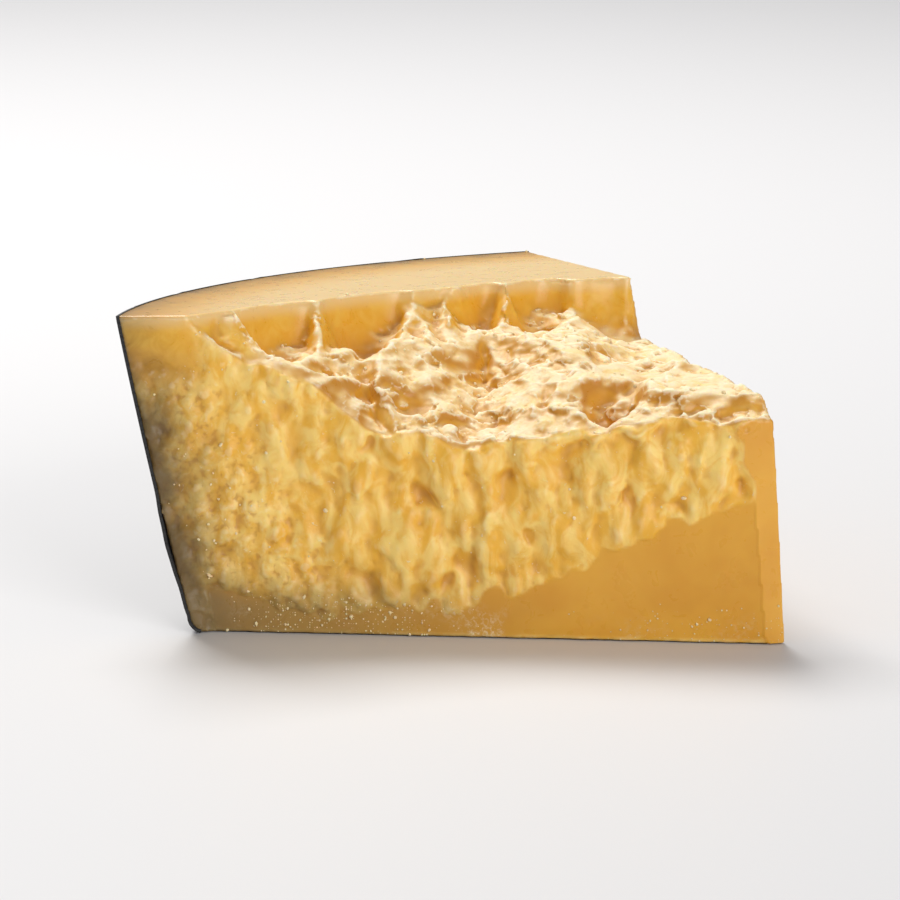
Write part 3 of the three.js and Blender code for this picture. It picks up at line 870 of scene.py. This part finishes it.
class CHEESE_OT_grains(bpy.types.Operator):
    """Scatters the small grains and crystals that cling to the broken and torn faces"""

    bl_idname = "cheese.grains"
    bl_label = "Scatter the clinging grains"

    def execute(self, context):
        size = context.scene.cheese_sizes.grain
        rng = np.random.default_rng(GRAIN_SEED)
        shapes = [self.shape_grain(k) for k in range(GRAIN_SHAPES)]
        at, normal, sown = self.beds(bpy.data.objects["cheese_paste"])
        points, faces, total = [], [], 0
        for weight, count, scale in sown:
            chosen = rng.choice(len(at), count, p=weight / weight.sum())
            for k in chosen:
                shape, shape_faces = shapes[rng.integers(len(shapes))]
                spin = Euler(rng.uniform(0, 2 * math.pi, 3)).to_matrix()
                grown = size * scale * rng.lognormal(0, 0.5) * rng.uniform(0.6, 1.15, 3)
                foot = at[k] + normal[k] * grown.min() * 0.12
                points.append((shape * grown / 2) @ np.array(spin).T + foot)
                faces.extend([total + i for i in face] for face in shape_faces)
                total += len(shape)
        mesh = bpy.data.meshes.new("cheese_grains")
        mesh.from_pydata(np.concatenate(points).tolist(), [], faces)
        piece = bpy.data.objects.new("cheese_grains", mesh)
        context.collection.objects.link(piece)
        activate(piece)
        bpy.ops.object.shade_smooth_by_angle(angle=math.radians(50))
        piece.data.materials.append(grain_finish(context.scene.cheese_colours))
        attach(piece, "root")
        return {"FINISHED"}

    def beds(self, paste):
        """The paste's faces, and where on them how many grains lie and how large against the usual one."""
        at, normal, front, lit_ledge = self.faces_of(paste)
        x, y, z = at.T
        from_rind = x - (AXIS.x - TOP_RADIUS)
        top = (np.abs(z - top_height(x, y)) < 0.5 * MM).astype(float)
        faces_front = ease(-normal[:, 1], 0.8, 0.95) * (1 - ease(y - FRONT_Y, 3 * MM, 5 * MM))
        bottom = (1 - ease(z, 5 * MM, 9 * MM)) * faces_front
        by_rind = 1 - ease(from_rind, 14 * MM, 45 * MM)
        left = ease(from_rind, 16 * MM, 30 * MM) * (1 - ease(from_rind, 50 * MM, 70 * MM))
        right = ease(from_rind, 80 * MM, 104 * MM)
        sown = (
            (lit_ledge, 150, 0.55),
            (front * by_rind, 50, 0.5),
            (front, 30, 0.5),
            (bottom * left, 340, 0.26),
            (bottom * right, 90, 0.3),
            (top, 10, 0.5),
        )
        return at, normal, sown

    def shape_grain(self, seed):
        """One rough grain of unit radius: its points and faces."""
        deselect_all()
        bpy.ops.mesh.primitive_ico_sphere_add(subdivisions=2, radius=1, location=(0, 0, 0))
        grain = bpy.context.object
        at = points_of(grain)
        at *= 1 + 0.5 * splinters(at + 9.7 * seed, 0.9, seed, 0.25, 0.5)[:, None]
        place_points(grain, at)
        apply_modifier(grain, "DECIMATE", ratio=0.3)
        shape = points_of(grain), [list(face.vertices) for face in grain.data.polygons]
        bpy.data.objects.remove(grain)
        return shape

    def faces_of(self, paste):
        """Middles, normals and weights of the torn front and of the ledges, for each face of the paste."""
        mesh = paste.data
        count = len(mesh.polygons)
        middle = np.empty(3 * count)
        normal = np.empty(3 * count)
        mesh.polygons.foreach_get("center", middle)
        mesh.polygons.foreach_get("normal", normal)
        zones = np.empty(4 * len(mesh.vertices), dtype=np.float32)
        mesh.color_attributes["zones"].data.foreach_get("color", zones)
        starts = np.empty(count, dtype=np.int32)
        mesh.polygons.foreach_get("loop_start", starts)
        corners = np.empty(len(mesh.loops), dtype=np.int32)
        mesh.loops.foreach_get("vertex_index", corners)
        zone = zones.reshape(-1, 4)[corners[starts]]
        return middle.reshape(-1, 3), normal.reshape(-1, 3), zone[:, 0], zone[:, 2]


class CHEESE_OT_stage(bpy.types.Operator):
    """Lays a pale floor, and sets the lights and the camera"""

    bl_idname = "cheese.stage"
    bl_label = "Set the stage"

    def execute(self, context):
        deselect_all()
        bpy.ops.mesh.primitive_circle_add(vertices=64, radius=6, fill_type="NGON", location=(0, 0, 0))
        floor = context.object
        floor.name = "floor"
        ground = Finish("floor")
        ground.set(Base_Color=(0.7, 0.7, 0.71), Roughness=0.55)
        floor.data.materials.append(ground.material)
        self.aim_camera(context)
        self.hang_light("key", place=(-0.35, 0.55, 1.0), size=0.6, power=15)
        self.hang_light("front", place=(0.8, -1.1, 0.5), size=0.8, power=10.5)
        world = bpy.data.worlds.new("studio")
        world.use_nodes = True
        background = world.node_tree.nodes["Background"].inputs
        background["Color"].default_value = (0.95, 0.96, 1.0, 1)
        background["Strength"].default_value = 0.32
        context.scene.world = world
        context.scene.view_settings.view_transform = "Standard"
        return {"FINISHED"}

    def aim_camera(self, context):
        """The photograph's low view, slightly from the tip's side."""
        distance = context.scene.cheese_sizes.view_distance
        target = Vector((AXIS.x - 63.4 * MM, FRONT_Y + 30 * MM, 30 * MM))
        aim = Euler((math.pi / 2 - VIEW_DOWN, 0, VIEW_TURN))
        deselect_all()
        place = target + aim.to_matrix() @ Vector((0, 0, distance))
        bpy.ops.object.camera_add(location=place, rotation=aim)
        camera = context.object
        camera.data.lens = VIEW_LENS
        camera.data.clip_start = 0.01
        context.scene.camera = camera

    def hang_light(self, name, place, size, power):
        """A square soft light aimed at the chunk."""
        aim = (-Vector(place)).to_track_quat("-Z", "Y").to_euler()
        bpy.ops.object.light_add(type="AREA", location=place, rotation=aim)
        light = bpy.context.object
        light.name = name
        light.data.size = size
        light.data.energy = power
        light.data.color = WARM_WHITE


class CHEESE_PT_panel(bpy.types.Panel):
    """Lists the pieces in the 3D view's sidebar"""

    bl_idname = "CHEESE_PT_panel"
    bl_label = "Parmesan chunk"
    bl_space_type = "VIEW_3D"
    bl_region_type = "UI"
    bl_category = "Cheese"

    def draw(self, context):
        for settings in (context.scene.cheese_sizes, context.scene.cheese_colours):
            for name in settings.bl_rna.properties.keys():
                if name not in ("rna_type", "name"):
                    self.layout.prop(settings, name)
        for operator in OPERATORS:
            self.layout.operator(operator.bl_idname)


GROUPS = {"cheese_colours": CheeseColours, "cheese_sizes": CheeseSizes}
OPERATORS = (CHEESE_OT_stage, CHEESE_OT_paste, CHEESE_OT_coat, CHEESE_OT_grains)


def register():
    for shown in (*GROUPS.values(), *OPERATORS, CHEESE_PT_panel):
        bpy.utils.register_class(shown)
    for name, group in GROUPS.items():
        setattr(bpy.types.Scene, name, bpy.props.PointerProperty(type=group))


def unregister():
    for name in GROUPS:
        delattr(bpy.types.Scene, name)
    for shown in (CHEESE_PT_panel, *OPERATORS, *GROUPS.values()):
        bpy.utils.unregister_class(shown)


def main():
    register()
    bpy.ops.cheese.stage()
    bpy.ops.cheese.paste()
    bpy.ops.cheese.coat()
    bpy.ops.cheese.grains()


if __name__ == "__main__":
    main()
